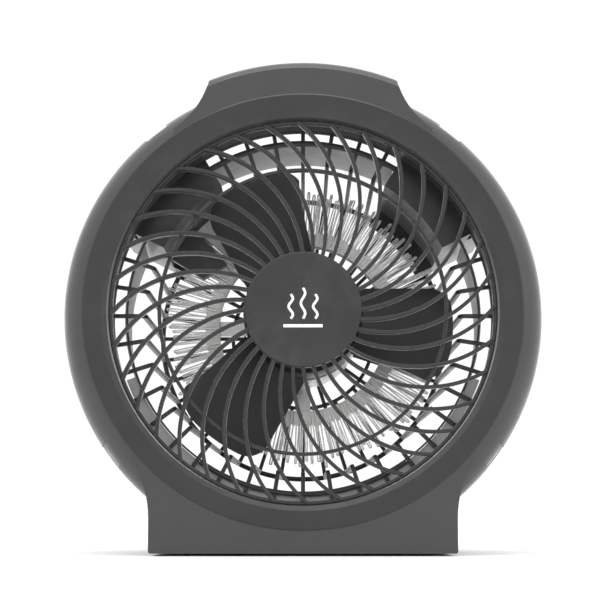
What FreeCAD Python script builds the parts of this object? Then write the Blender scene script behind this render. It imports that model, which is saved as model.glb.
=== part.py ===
import FreeCAD, Part
import math
import os
import Sketcher
from FreeCAD import Placement, Rotation, Vector

# Round portable fan heater, in millimetres, +Z up, standing on its feet at z = 0.
# It faces -Y. Every piece is drawn in one shared drawing frame: x to the right and y up, both
# measured from the fan axis, and "depth" running backwards from the flat front face.

doc = FreeCAD.newDocument("RoundFanHeater")
sheet = doc.addObject("Spreadsheet::Sheet", "Size")

DIMENSIONS = [
    ("axisHeight", 149.8),        # fan axis above the surface the feet stand on
    ("totalDepth", 136.0),        # front face to the back of the rear cage
    ("footHeight", 1.5),
    ("bodyRadius", 150.0),        # outer radius of the round body
    ("faceOuter", 134.0),         # outer edge of the flat front face
    ("faceInner", 123.0),         # inner edge of the flat front face
    ("opening", 120.0),           # radius of the air outlet
    ("lipDepth", 2.0),            # depth of the bevel round the outlet
    ("sideDepth", 27.0),          # depth at which the rounded side reaches bodyRadius
    ("sideRound", 30.8),          # radius of the rounded side, centred at sideDepth
    ("splitDepth", 30.0),         # parting plane between front bezel and rear shell
    ("ringDepth", 48.0),          # back of the round ring
    ("wall", 2.5),
    ("faceStep", 0.6),            # handle and base faces lie this far behind the ring's face
    ("baseHalf", 92.5),           # half the width of the base
    ("baseBack", 132.0),          # depth of the base's rear wall
    ("cradle", 119.2),            # radius of the hollow in the base's top, under the drum
    ("flareX", 103.0),
    ("flareY", 91.6),             # where the base's flared side meets the ring, below the axis
    ("flareStart", 128.0),
    ("flareRadius", 70.0),
    ("handleTop", 158.5),         # top of the handle above the axis
    ("handleFace", 151.5),        # top edge of the handle's front face
    ("handleCrown", 14.0),        # depth at which the crown reaches handleTop
    ("handleBack", 78.0),
    ("handleFootX", 81.0),
    ("handleFootY", 112.0),       # where the handle's flank meets the ring
    ("handleFlank", 54.0),        # radius of the concave flank
    ("hubPlate", 35.9),           # radius of the guard's centre disc
    ("guardFront", 5.0),
    ("guardBack", 10.0),
    ("ribWidth", 2.3),
    ("ribCount", 36.0),
    ("ribCurve", 75.0),           # radius of the arc that each guard rib follows
    ("ribSweep", 31.45),          # angle between a rib's inner and outer end
    ("supportRing", 88.6),
    ("cageRadius", 98.6),         # inner radius of the rear cage
    ("cageWall", 3.4),
    ("cageFront", 30.0),
    ("cageFlange", 34.2),
    ("barWidth", 2.6),
    ("barCount", 40.0),
    ("shieldRadius", 112.4),      # front edge of the conical heat shield
    ("shieldFlare", 5.4),         # how much its radius grows towards the back
    ("shieldBack", 100.0),
    ("sheetMetal", 0.8),
    ("podStart", 26.3),           # lower edge of a control housing, degrees above horizontal
    ("podEnd", 58.2),
    ("podOuter", 133.5),
    ("podBack", 112.0),
    ("podWall", 2.2),
    ("rotorTip", 96.0),
    ("rotorHub", 37.6),
    ("tipCurve", 45.0),           # radius of the rounded-off rear corner of each blade
    ("bladeFront", 26.0),
    ("bladeBack", 50.0),
    ("bladeThick", 2.2),
    ("shaftRadius", 4.0),
    ("runningFit", 0.05),
    ("motorRadius", 38.0),
    ("heaterInner", 56.5),
    ("heaterOuter", 66.4),
    ("heaterDepth", 84.0),
    ("wireTip", 96.0),
    ("wireRadius", 0.55),
    ("wireCount", 60.0),
    ("knobRadius", 15.0),
    ("spindleRadius", 3.0),
    ("knobDistance", 117.0),      # knob axes from the fan axis
    ("cordX", 60.0),
    ("cordHeight", 18.0),
]

for row, (alias, amount) in enumerate(DIMENSIONS, start=1):
    sheet.set(f"A{row}", alias)
    sheet.set(f"B{row}", str(amount))
    sheet.setAlias(f"B{row}", alias)
doc.recompute()


def number(expression):
    """The value of an expression over the sheet's aliases."""
    return float(sheet.evalExpression(str(expression)))


FRONT = Placement(Vector(0, -number("Size.totalDepth / 2"), number("Size.axisHeight")),
                  Rotation(Vector(1, 0, 0), 90))


def polar(radius, angle):
    """A corner given by its radius and its angle in degrees from +x."""
    return f"({radius}) * cos({angle})", f"({radius}) * sin({angle})"


def mirrored(corners):
    """The same corners on the other side of x = 0, in reverse order."""
    return [(f"-({x})", y) for x, y in reversed(corners)]


def new_body(label):
    body = doc.addObject("PartDesign::Body", label)
    body.Label = label
    body.AllowCompound = True
    body.Placement = FRONT
    return body


def new_sketch(body, role, depth="0"):
    """A sketch on one of the body's own planes; on the XY plane it lies at the given depth."""
    plane = [feature for feature in body.Origin.OriginFeatures if feature.Role == role][0]
    sketch = body.newObject("Sketcher::SketchObject", "Sketch")
    sketch.AttachmentSupport = [(plane, "")]
    sketch.MapMode = "FlatFace"
    if role == "XY_Plane":
        sketch.setExpression("AttachmentOffset.Base.z", f"-({depth})")
    return sketch


def fix_point(sketch, edge, end, x, y):
    """Hold one end of an edge at (x, y), each given by an expression."""
    for kind, axis, expression in (("DistanceX", -2, x), ("DistanceY", -1, y)):
        amount = number(expression)
        if abs(amount) < 1e-6:
            sketch.addConstraint(Sketcher.Constraint("PointOnObject", edge, end, axis))
        else:
            index = sketch.addConstraint(Sketcher.Constraint(kind, -1, 1, edge, end, amount))
            sketch.setExpression(f"Constraints[{index}]", expression)


def arc_between(start, end, radius):
    """The minor arc between two points, counter-clockwise when the radius is positive."""
    if radius < 0:
        start, end = end, start
    chord = end - start
    rise = math.sqrt(max(radius * radius - chord.Length ** 2 / 4, 0))
    centre = (start + end) / 2 + Vector(-chord.y, chord.x, 0).normalize() * rise
    circle = Part.Circle(centre, Vector(0, 0, 1), abs(radius))
    first = math.atan2(start.y - centre.y, start.x - centre.x)
    last = math.atan2(end.y - centre.y, end.x - centre.x)
    return Part.ArcOfCircle(circle, first, last if last > first else last + 2 * math.pi)


def add_loop(sketch, corners, arcs=None):
    """Close the corners with lines; arcs maps a side's index to its signed radius."""
    arcs = arcs or {}
    points = [Vector(number(x), number(y), 0) for x, y in corners]
    first_edge = sketch.GeometryCount
    ends = []
    for side, start in enumerate(points):
        end = points[(side + 1) % len(points)]
        if side in arcs:
            radius = number(arcs[side])
            edge = sketch.addGeometry(arc_between(start, end, radius))
            ends.append((1, 2) if radius > 0 else (2, 1))
            index = sketch.addConstraint(Sketcher.Constraint("Radius", edge, abs(radius)))
            sketch.setExpression(f"Constraints[{index}]", f"abs({arcs[side]})")
        else:
            sketch.addGeometry(Part.LineSegment(start, end))
            ends.append((1, 2))
    for side, (x, y) in enumerate(corners):
        before = (side - 1) % len(corners)
        sketch.addConstraint(Sketcher.Constraint(
            "Coincident", first_edge + before, ends[before][1], first_edge + side, ends[side][0]))
        fix_point(sketch, first_edge + side, ends[side][0], x, y)


def add_circle(sketch, radius, x="0", y="0"):
    centre = Vector(number(x), number(y), 0)
    edge = sketch.addGeometry(Part.Circle(centre, Vector(0, 0, 1), number(radius)))
    index = sketch.addConstraint(Sketcher.Constraint("Radius", edge, number(radius)))
    sketch.setExpression(f"Constraints[{index}]", radius)
    fix_point(sketch, edge, 3, x, y)


def pad(body, sketch, length):
    """Extrude a sketch backwards from its plane."""
    feature = body.newObject("PartDesign::Pad", "Pad")
    feature.Profile = sketch
    feature.Reversed = True
    feature.setExpression("Length", length)
    return feature


def pocket(body, sketch, length):
    """Cut a sketch backwards from its plane, and make sure that it removed something."""
    doc.recompute()
    before = body.Shape.Volume
    feature = body.newObject("PartDesign::Pocket", "Pocket")
    feature.Profile = sketch
    feature.setExpression("Length", length)
    doc.recompute()
    if not feature.Shape.Volume < before - 1e-3:
        raise RuntimeError(f"a pocket of {body.Label} cuts nothing")
    return feature


def turn(body, loops, kind="PartDesign::Revolution"):
    """Revolve closed (radius, depth) loops about the fan axis; each loop is (corners, arcs)."""
    sketch = new_sketch(body, "XZ_Plane")
    for corners, arcs in loops:
        add_loop(sketch, [(radius, f"-({depth})") for radius, depth in corners], arcs)
    feature = body.newObject(kind, "Turned")
    feature.Profile = sketch
    feature.ReferenceAxis = (sketch, ["V_Axis"])
    feature.Angle = 360
    return feature


def box_section(inner, outer, front, back):
    """A rectangular (radius, depth) loop for turn()."""
    return [(inner, front), (outer, front), (outer, back), (inner, back)], None


def around(body, feature, count, angle="360"):
    """Repeat a feature about the fan axis."""
    axis = [item for item in body.Origin.OriginFeatures if item.Role == "Z_Axis"][0]
    pattern = body.newObject("PartDesign::PolarPattern", "Pattern")
    pattern.Originals = [feature]
    pattern.Axis = (axis, [""])
    pattern.setExpression("Angle", angle)
    pattern.setExpression("Occurrences", count)
    body.Tip = pattern
    return pattern


def sector(inner, outer, start, end):
    """Corners and arcs of an annular sector that runs counter-clockwise from start to end."""
    corners = [polar(inner, start), polar(outer, start), polar(outer, end), polar(inner, end)]
    return corners, {1: outer, 3: f"-({inner})"}


def cylinder(label, radius, front, back, bore=None, x="0", y="0"):
    """A plain round piece parallel to the fan axis, bored through when bore is given."""
    body = new_body(label)
    sketch = new_sketch(body, "XY_Plane", front)
    add_circle(sketch, radius, x, y)
    if bore is not None:
        add_circle(sketch, bore, x, y)
    pad(body, sketch, f"({back}) - ({front})")
    return body


# ---------------------------------------------------------------- outlines of base and handle

BASE_BOTTOM = "-(Size.axisHeight - Size.footHeight)"


def base_outline(inset, top_radius):
    """The base seen from the front, closed at the top by an arc about the fan axis."""
    half = f"Size.baseHalf - {inset}"
    bottom = f"{BASE_BOTTOM} + {inset}"
    top = polar(top_radius, "-41.6")
    right = [
        (f"{half} - 1.5", bottom),
        (half, f"{bottom} + 1.5"),
        (half, "-Size.flareStart"),
        (f"Size.flareX - {inset}", "-Size.flareY"),
        top,
    ]
    arcs = {0: "1.5", 2: "-Size.flareRadius", 4: f"-({top_radius})", 6: "-Size.flareRadius",
            8: "1.5"}
    return right + mirrored(right), arcs


def handle_outline(bottom_radius):
    """The handle seen from the front, down to an arc about the fan axis."""
    right = [
        polar(bottom_radius, "54.13"),
        ("Size.handleFootX", "Size.handleFootY"),
        polar("Size.handleTop - 5", "67.4"),
        polar("Size.handleTop", "69.2"),
    ]
    arcs = {1: "-Size.handleFlank", 2: "7", 3: "Size.handleTop", 4: "7", 5: "-Size.handleFlank",
            7: f"-({bottom_radius})"}
    return right + mirrored(right), arcs


BOSS_ANGLES = ["8", "172", "205", "335"]
BOSS_RADIUS = "141"


def at_bosses(body, radius, depth):
    """A sketch with one circle at every screw boss of the round body."""
    sketch = new_sketch(body, "XY_Plane", depth)
    for angle in BOSS_ANGLES:
        add_circle(sketch, radius, *polar(BOSS_RADIUS, angle))
    return sketch


def level_off(body):
    """Cut away what the round ring has below the base's flat bottom."""
    sketch = new_sketch(body, "XY_Plane", "-1")
    add_loop(sketch, [("-40", "-Size.bodyRadius - 5"), ("40", "-Size.bodyRadius - 5"),
                      ("40", BASE_BOTTOM), ("-40", BASE_BOTTOM)])
    pocket(body, sketch, "Size.ringDepth + 5")


# ---------------------------------------------------------------- front bezel

def make_front_bezel():
    """Rounded front ring with the front halves of the base and the handle."""
    body = new_body("front_bezel")
    ring = [
        ("Size.opening", "Size.lipDepth"),
        ("Size.faceInner", "0"),
        ("Size.faceOuter", "0"),
        ("Size.bodyRadius", "Size.sideDepth"),
        ("Size.bodyRadius", "Size.splitDepth"),
        ("Size.bodyRadius - Size.wall", "Size.splitDepth"),
        ("Size.bodyRadius - Size.wall", "Size.sideDepth"),
        ("Size.faceOuter - 0.7", "Size.wall"),
        ("Size.opening + Size.wall", "Size.wall"),
        ("Size.opening + Size.wall", "29"),
        ("Size.opening", "29"),
    ]
    turn(body, [(ring, {2: "-Size.sideRound", 6: "Size.sideRound - Size.wall"})])
    level_off(body)
    handle = new_sketch(body, "XY_Plane", "Size.faceStep")
    add_loop(handle, *handle_outline("133"))
    pad(body, handle, "Size.splitDepth - Size.faceStep")
    crown = [
        ("Size.handleFace", "Size.faceStep"),
        ("Size.handleTop + 3", "Size.faceStep - 1"),
        ("Size.handleTop + 3", "Size.handleCrown"),
        ("Size.handleTop", "Size.handleCrown"),
    ]
    turn(body, [(crown, {3: "15"})], "PartDesign::Groove")
    base = new_sketch(body, "XY_Plane", "Size.faceStep")
    add_loop(base, *base_outline("0", "133"))
    pad(body, base, "Size.splitDepth - Size.faceStep")
    hollow = new_sketch(body, "XY_Plane", "Size.faceStep + Size.wall")
    add_loop(hollow, *base_outline("Size.wall", "125.5"))
    pocket(body, hollow, "Size.splitDepth")
    pad(body, at_bosses(body, "4.2", "11.4"), "Size.splitDepth - 11.4")
    pocket(body, at_bosses(body, "1.5", "13"), "Size.splitDepth")
    for angle in CATCH_ANGLES:
        cut_catch(body, angle)


CATCH_ANGLES = (51, 129, 217, 323)


def cut_catch(body, angle):
    """A shallow finger recess that follows the rounded side and ends at the parting plane."""
    floor = "Size.sideRound - 0.9"
    reach = "Size.bodyRadius - 0.9"
    sketch = new_sketch(body, "XZ_Plane")
    sketch.AttachmentOffset = Placement(Vector(), Rotation(Vector(0, 1, 0), angle))
    section = [
        ("143.4", "Size.sideDepth - 17.56"),
        (reach, "Size.sideDepth"),
        (reach, "Size.splitDepth + 1"),
        ("Size.bodyRadius + 4", "Size.splitDepth + 1"),
        ("Size.bodyRadius + 4", "7.68"),
        ("145.8", "7.68"),
    ]
    add_loop(sketch, [(radius, f"-({depth})") for radius, depth in section],
             {0: f"-({floor})"})
    groove = body.newObject("PartDesign::Groove", "Catch")
    groove.Profile = sketch
    groove.ReferenceAxis = (sketch, ["V_Axis"])
    groove.Angle = 6.6
    groove.Midplane = True


# ---------------------------------------------------------------- spiral guard

def make_front_guard():
    """Thirty-six arc-shaped ribs between the centre disc and a thin rim, on a support ring."""
    body = new_body("front_guard")
    half = "Size.ribWidth / 2"
    inner = "Size.hubPlate - 1.5"
    outer = "118.6"

    def rib_corner(radius, angle, normal, side):
        x, y = polar(radius, angle)
        return f"{x} + {side} * {half} * cos({normal})", f"{y} + {side} * {half} * sin({normal})"

    # A rib leaves the disc almost radially and meets the rim at 43 degrees to the radius.
    corners = [
        rib_corner(inner, "0", "96", "-1"),
        rib_corner(outer, "Size.ribSweep", "165", "-1"),
        rib_corner(outer, "Size.ribSweep", "165", "1"),
        rib_corner(inner, "0", "96", "1"),
    ]
    sketch = new_sketch(body, "XY_Plane", "Size.guardFront")
    add_loop(sketch, corners, {0: f"Size.ribCurve + {half}", 2: f"-(Size.ribCurve - {half})"})
    rib = pad(body, sketch, "Size.guardBack - Size.guardFront")
    around(body, rib, "Size.ribCount")
    disc = [("0", "4"), ("Size.hubPlate - 1", "4"), ("Size.hubPlate", "5"),
            ("Size.hubPlate", "Size.guardBack"), ("Size.hubPlate - 2", "Size.guardBack"),
            ("Size.hubPlate - 2", "6.5"), ("0", "6.5")]
    rings = [
        (disc, None),
        box_section("117.2", "119.6", "Size.guardFront + 1", "Size.guardBack + 1"),
        box_section("Size.supportRing - 1.1", "Size.supportRing + 1.1",
                    "Size.guardBack - 1.5", "Size.guardBack + 2"),
    ]
    turn(body, rings)


# ---------------------------------------------------------------- rear shell

def make_rear_shell():
    """Back of the round ring, the hooded rear half of the handle and the rear of the base."""
    body = new_body("rear_shell")
    ring = [
        ("Size.bodyRadius", "Size.splitDepth"),
        ("Size.bodyRadius", "Size.ringDepth - 12"),
        ("Size.bodyRadius - 12", "Size.ringDepth"),
        ("128", "38"),
        ("123", "38"),
        ("123", "Size.cageFlange + 0.3"),
        ("129.4", "Size.cageFlange + 0.3"),
        ("Size.bodyRadius - 12.2", "44.8"),
        ("Size.bodyRadius - Size.wall", "Size.ringDepth - 12"),
        ("Size.bodyRadius - Size.wall", "Size.splitDepth"),
    ]
    turn(body, [(ring, {1: "-12", 7: "9.5"})])
    level_off(body)
    base = new_sketch(body, "XY_Plane", "Size.splitDepth")
    add_loop(base, *base_outline("0", "Size.cradle"))
    pad(body, base, "Size.baseBack - Size.splitDepth")
    turn(body, [box_section("115", "129.4", "Size.splitDepth - 1", "Size.cageFlange + 0.3")],
         "PartDesign::Groove")
    mouth = new_sketch(body, "XY_Plane", "Size.splitDepth")
    add_loop(mouth, *base_outline("Size.wall", "131"))
    pocket(body, mouth, "Size.ringDepth - Size.splitDepth")
    hollow = new_sketch(body, "XY_Plane", "38")
    add_loop(hollow, *base_outline("Size.wall", "Size.cradle + Size.wall"))
    pocket(body, hollow, "Size.baseBack - 38 - Size.wall")
    hood = new_sketch(body, "XY_Plane", "Size.splitDepth")
    add_loop(hood, *handle_outline("136"))
    pad(body, hood, "Size.handleBack - Size.splitDepth")
    grip = new_sketch(body, "XY_Plane", "Size.ringDepth")
    inner = [
        polar("134", "57.5"),
        polar("144", "61.5"),
        polar("Size.handleTop - 4", "69.5"),
    ]
    add_loop(grip, inner + mirrored(inner), {2: "Size.handleTop - 4", 5: "-134"})
    pocket(body, grip, "Size.handleBack - Size.ringDepth")
    pad(body, at_bosses(body, "4.2", "Size.splitDepth"), "15")
    pocket(body, at_bosses(body, "2.0", "Size.splitDepth"), "30")
    pocket(body, at_bosses(body, "4.0", "41"), "20")
    cord = new_sketch(body, "XY_Plane", "Size.baseBack - 10")
    add_circle(cord, "6.1", "Size.cordX", "Size.cordHeight - Size.axisHeight")
    pocket(body, cord, "20")


# ---------------------------------------------------------------- rear cage

def make_rear_cage():
    """Bars that run inwards behind the bezel, back along the drum and inwards over its end."""
    body = new_body("rear_cage")
    outer = "Size.cageRadius + Size.cageWall"
    end = "Size.totalDepth - Size.cageWall"
    bar = [
        ("Size.cageRadius", "Size.cageFront"), ("121", "Size.cageFront"),
        ("121", "Size.cageFlange"), (outer, "Size.cageFlange"),
        (outer, "Size.totalDepth"), ("49", "Size.totalDepth"),
        ("49", end), ("Size.cageRadius", end),
    ]
    sketch = new_sketch(body, "XZ_Plane")
    add_loop(sketch, [(radius, f"-({depth})") for radius, depth in bar])
    first = pad(body, sketch, "Size.barWidth")
    first.Reversed = False
    first.Midplane = True
    around(body, first, "Size.barCount")
    gaps = new_sketch(body, "XY_Plane", "Size.cageFront - 1")
    add_loop(gaps, *sector("90", "125", "Size.podStart - 2.5", "Size.podEnd + 2.5"))
    add_loop(gaps, *sector("90", "125", "177.5 - Size.podEnd", "182.5 - Size.podStart"))
    pocket(body, gaps, f"({end}) - Size.cageFront + 1")
    spoke = new_sketch(body, "XZ_Plane")
    add_loop(spoke, [("24", f"-({end})"), ("51", f"-({end})"),
                     ("51", "-Size.totalDepth"), ("24", "-Size.totalDepth")])
    inner_bar = pad(body, spoke, "Size.barWidth")
    inner_bar.Reversed = False
    inner_bar.Midplane = True
    around(body, inner_bar, "Size.barCount / 2")
    rings = [
        box_section("119.5", "127.5", "Size.cageFront", "Size.cageFlange"),
        box_section("Size.cageRadius", outer, end, "Size.totalDepth"),
        box_section("48.7", "51.3", end, "Size.totalDepth"),
        box_section("0", "26", end, "Size.totalDepth"),
    ]
    turn(body, rings)
    collar = new_sketch(body, "XY_Plane", "Size.cageFront")
    add_loop(collar, *sector("110.8", "114", "Size.podEnd", "180 - Size.podEnd"))
    add_lower_arc(collar, "110.8", "112")
    pad(body, collar, "Size.cageFlange - Size.cageFront")
    keel = new_sketch(body, "XY_Plane", "Size.cageFront")
    add_loop(keel, *sector("111.4", "114", "235", "305"))
    pad(body, keel, "Size.cageFlange - Size.cageFront")


def add_lower_arc(sketch, inner, outer):
    """The sector below both control housings, drawn as two halves because it passes 180."""
    start = "180 - Size.podStart"
    end = "360 + Size.podStart"
    corners = [polar(inner, start), polar(outer, start), polar(outer, "270"),
               polar(outer, end), polar(inner, end), polar(inner, "270")]
    arcs = {1: outer, 2: outer, 4: f"-({inner})", 5: f"-({inner})"}
    add_loop(sketch, corners, arcs)


def make_heat_shield():
    """Bright sheet-metal cone outside the cage, cut away at the two control housings.

    Its lower part has a flange that closes the gap to the shell."""
    body = new_body("heat_shield")
    front = "Size.shieldRadius"
    back = "Size.shieldRadius + Size.shieldFlare"
    cone = [
        (front, "Size.cageFlange"),
        (f"{front} + Size.sheetMetal", "Size.cageFlange"),
        (f"{back} + Size.sheetMetal", "Size.shieldBack"),
        (back, "Size.shieldBack"),
    ]
    turn(body, [(cone, None)])
    flange = new_sketch(body, "XY_Plane", "Size.cageFlange")
    add_loop(flange, *sector(f"{front} + 0.4", "118.8", "200", "340"))
    pad(body, flange, "Size.sheetMetal")
    gaps = new_sketch(body, "XY_Plane", "Size.cageFront")
    add_loop(gaps, *sector("105", "125", "Size.podStart - 1", "Size.podEnd + 1"))
    add_loop(gaps, *sector("105", "125", "179 - Size.podEnd", "181 - Size.podStart"))
    pocket(body, gaps, "Size.shieldBack")


# ---------------------------------------------------------------- control housings

def pod_sector(side, inset, inner, outer):
    """A control housing's sector on the right (side 1) or on the left (side -1)."""
    swing = f"({inset} / 110 * 57.3)"
    start = f"Size.podStart + {swing}"
    end = f"Size.podEnd - {swing}"
    if side < 0:
        start, end = f"180 - ({end})", f"180 - ({start})"
    return sector(f"{inner} + {inset}", f"{outer} - {inset}", start, end)


def knob_place(side):
    """Where a control's axis crosses the drawing plane."""
    middle = "(Size.podStart + Size.podEnd) / 2"
    return polar("Size.knobDistance", middle if side > 0 else f"180 - {middle}")


def make_housing(label, side):
    """A box between the cage and the shell that closes one sector of the drum."""
    body = new_body(label)
    blocks = [
        ("0", "99", "119.2", "Size.cageFront", "Size.podBack"),
        ("0", "115", "Size.podOuter", "Size.ringDepth + 0.4", "Size.podBack"),
        ("0", "99", "101.4", "Size.podBack - 5", "Size.totalDepth - Size.cageWall"),
        ("0", "86", "101.4", "92", "94.2"),
    ]
    for inset, inner, outer, front, back in blocks:
        sketch = new_sketch(body, "XY_Plane", front)
        add_loop(sketch, *pod_sector(side, inset, inner, outer))
        pad(body, sketch, f"({back}) - ({front})")
    hollows = [
        ("99", "119.2", "Size.cageFront + Size.podWall", "Size.podBack"),
        ("110", "Size.podOuter", "Size.ringDepth + 0.4 + Size.podWall", "Size.podBack"),
    ]
    for inner, outer, front, back in hollows:
        sketch = new_sketch(body, "XY_Plane", front)
        add_loop(sketch, *pod_sector(side, "Size.podWall", inner, outer))
        pocket(body, sketch, f"({back}) - ({front})")


def make_cover(label, side):
    """The housing's rear cover, with a hole for the control's bush."""
    body = new_body(label)
    sketch = new_sketch(body, "XY_Plane", "Size.podBack")
    add_loop(sketch, *pod_sector(side, "0", "101.6", "Size.podOuter"))
    add_circle(sketch, "5.2", *knob_place(side))
    pad(body, sketch, "2.5")


def make_control(label, side):
    """Switch or thermostat body with its threaded bush through the cover."""
    body = new_body(label)
    x, y = knob_place(side)
    front = "Size.podBack - 21"
    block = new_sketch(body, "XY_Plane", front)
    add_circle(block, "11.5", x, y)
    pad(body, block, "20.8")
    bush = new_sketch(body, "XY_Plane", "Size.podBack - 1")
    add_circle(bush, "5", x, y)
    pad(body, bush, "5.5")
    bore = new_sketch(body, "XY_Plane", "Size.podBack - 14")
    add_circle(bore, "Size.spindleRadius + Size.runningFit", x, y)
    pocket(body, bore, "30")
    terminals = new_sketch(body, "XY_Plane", "Size.podBack - 28")
    for shift in ("-6", "0", "6"):
        corners = [(f"{x} + {shift} - 2.4", f"{y} - 0.4"), (f"{x} + {shift} + 2.4", f"{y} - 0.4"),
                   (f"{x} + {shift} + 2.4", f"{y} + 0.4"), (f"{x} + {shift} - 2.4", f"{y} + 0.4")]
        add_loop(terminals, corners)
    pad(body, terminals, "8")


def make_spindle(label, side):
    cylinder(label, "Size.spindleRadius", "Size.podBack - 13.8", "Size.podBack + 15",
             None, *knob_place(side))


def make_knob(label, side):
    """Knob with a skirt, a pointer rib and a blind bore for its spindle."""
    body = new_body(label)
    x, y = knob_place(side)
    skirt = new_sketch(body, "XY_Plane", "Size.podBack + 5.5")
    add_circle(skirt, "Size.knobRadius", x, y)
    pad(body, skirt, "4")
    grip = new_sketch(body, "XY_Plane", "Size.podBack + 9")
    add_circle(grip, "Size.knobRadius - 3", x, y)
    pad(body, grip, "9.5")
    rib = new_sketch(body, "XY_Plane", "Size.podBack + 9")
    add_loop(rib, [(f"{x} - 2", f"{y} - 11"), (f"{x} + 2", f"{y} - 11"),
                   (f"{x} + 2", f"{y} + 14"), (f"{x} - 2", f"{y} + 14")])
    pad(body, rib, "11")
    bore = new_sketch(body, "XY_Plane", "Size.podBack + 5")
    add_circle(bore, "Size.spindleRadius", x, y)
    pocket(body, bore, "10")


# ---------------------------------------------------------------- rotor

def make_fan_rotor():
    """Hub cup with three blades whose leading edge is straight and lies at the back."""
    body = new_body("fan_rotor")
    blade = body.newObject("PartDesign::AdditiveLoft", "Blade")
    sections = []
    for distance, trailing in (("26", "-23.4"), ("98", "-48")):
        plane = [item for item in body.Origin.OriginFeatures if item.Role == "YZ_Plane"][0]
        sketch = body.newObject("Sketcher::SketchObject", "Section")
        sketch.AttachmentSupport = [(plane, "")]
        sketch.MapMode = "FlatFace"
        sketch.setExpression("AttachmentOffset.Base.z", distance)
        add_loop(sketch, [
            ("20.9", "-Size.bladeBack"), ("20.9", "-(Size.bladeBack - Size.bladeThick)"),
            (trailing, "-Size.bladeFront"),
            (trailing, "-(Size.bladeFront + Size.bladeThick)"),
        ])
        sections.append(sketch)
    blade.Profile = sections[0]
    blade.Sections = sections[1:]
    blade.Ruled = True
    doc.recompute()
    around(body, blade, "3")
    turn(body, [box_section("Size.rotorTip", "130", "10", "70")], "PartDesign::Groove")
    tip = new_sketch(body, "XY_Plane", "15")
    add_loop(tip, [("95.9", "-6"), ("76", "-46"), ("104", "-60"), ("112", "-6")],
             {0: "-Size.tipCurve"})
    around(body, pocket(body, tip, "50"), "3")
    # Hub and cup are drawn at -x, so that their seam falls between two blades.
    hub = [("0", "20"), ("Size.rotorHub - 6", "20"), ("Size.rotorHub", "26"),
           ("Size.rotorHub", "56"), ("0", "56")]
    turn(body, [(mirrored(hub), {2: "-6"})])
    cup = [("9", "23"), ("Size.rotorHub - 6", "23"), ("Size.rotorHub - 2.6", "26.4"),
           ("Size.rotorHub - 2.6", "57"), ("9", "57")]
    turn(body, [(mirrored(cup), {2: "-3.4"})], "PartDesign::Groove")
    bore = new_sketch(body, "XY_Plane", "10")
    add_circle(bore, "Size.shaftRadius")
    pocket(body, bore, "60")


# ---------------------------------------------------------------- motor

def make_motor():
    fit = "Size.shaftRadius + Size.runningFit"
    cylinder("motor_shaft", "Size.shaftRadius", "12", "120")
    cylinder("rotor_nut", "7.5", "14", "20", "Size.shaftRadius")
    cylinder("bearing_front", "9", "61", "69", fit)
    cylinder("bearing_rear", "9", "105", "113", fit)
    cylinder("motor_stator", "Size.motorRadius - 2", "74", "98", "25.4")
    cylinder("motor_armature", "25", "72", "100", "Size.shaftRadius")
    front = new_body("motor_bracket_front")
    turn(front, [([("9", "59"), ("Size.motorRadius - 4", "59"), ("Size.motorRadius", "63"),
                   ("Size.motorRadius", "86"), ("Size.motorRadius - 1.9", "86"),
                   ("Size.motorRadius - 1.9", "64"), ("Size.motorRadius - 4", "61"),
                   ("12", "61"), ("12", "69"), ("9", "69")], {1: "-4"})])
    rear = new_body("motor_bracket_rear")
    turn(rear, [([("9", "103"), ("12", "103"), ("12", "113"), ("Size.motorRadius - 5", "113"),
                  ("Size.motorRadius - 1.9", "109"), ("Size.motorRadius - 1.9", "86"),
                  ("Size.motorRadius", "86"), ("Size.motorRadius", "110"),
                  ("Size.motorRadius - 5", "115"), ("9", "115")], None)])
    coils = new_body("motor_coils")
    turn(coils, [box_section("26", "35", "65.5", "73.8"), box_section("26", "35", "98.2", "105.5")])
    mount = new_body("motor_mount")
    end = "Size.totalDepth - Size.cageWall"
    turn(mount, [([("9", "115"), ("34", "115"), ("34", "117.5"), ("26.4", "117.5"), ("25", "119"),
                   ("25", end), ("21", end), ("21", "119"), ("9", "117.5")], None)])
    screws = new_body("motor_screws")
    sketch = new_sketch(screws, "XY_Plane", "117.5")
    for angle in ("45", "135", "225", "315"):
        add_circle(sketch, "2.6", *polar("30.6", angle))
    pad(screws, sketch, "2.2")


# ---------------------------------------------------------------- heater

def make_mica_ring(label, front):
    """A mica annulus with one radial slot for each leg of the wire."""
    body = new_body(label)
    turn(body, [box_section("Size.heaterInner", "Size.heaterOuter", front, f"{front} + 1.2")])
    slot = new_sketch(body, "XY_Plane", f"{front} - 1")
    add_loop(slot, [("Size.heaterInner + 4.4", "-0.5"), ("Size.heaterOuter - 1.4", "-0.5"),
                    ("Size.heaterOuter - 1.4", "0.5"), ("Size.heaterInner + 4.4", "0.5")])
    around(body, pocket(body, slot, "4"), "Size.wireCount")


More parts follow.
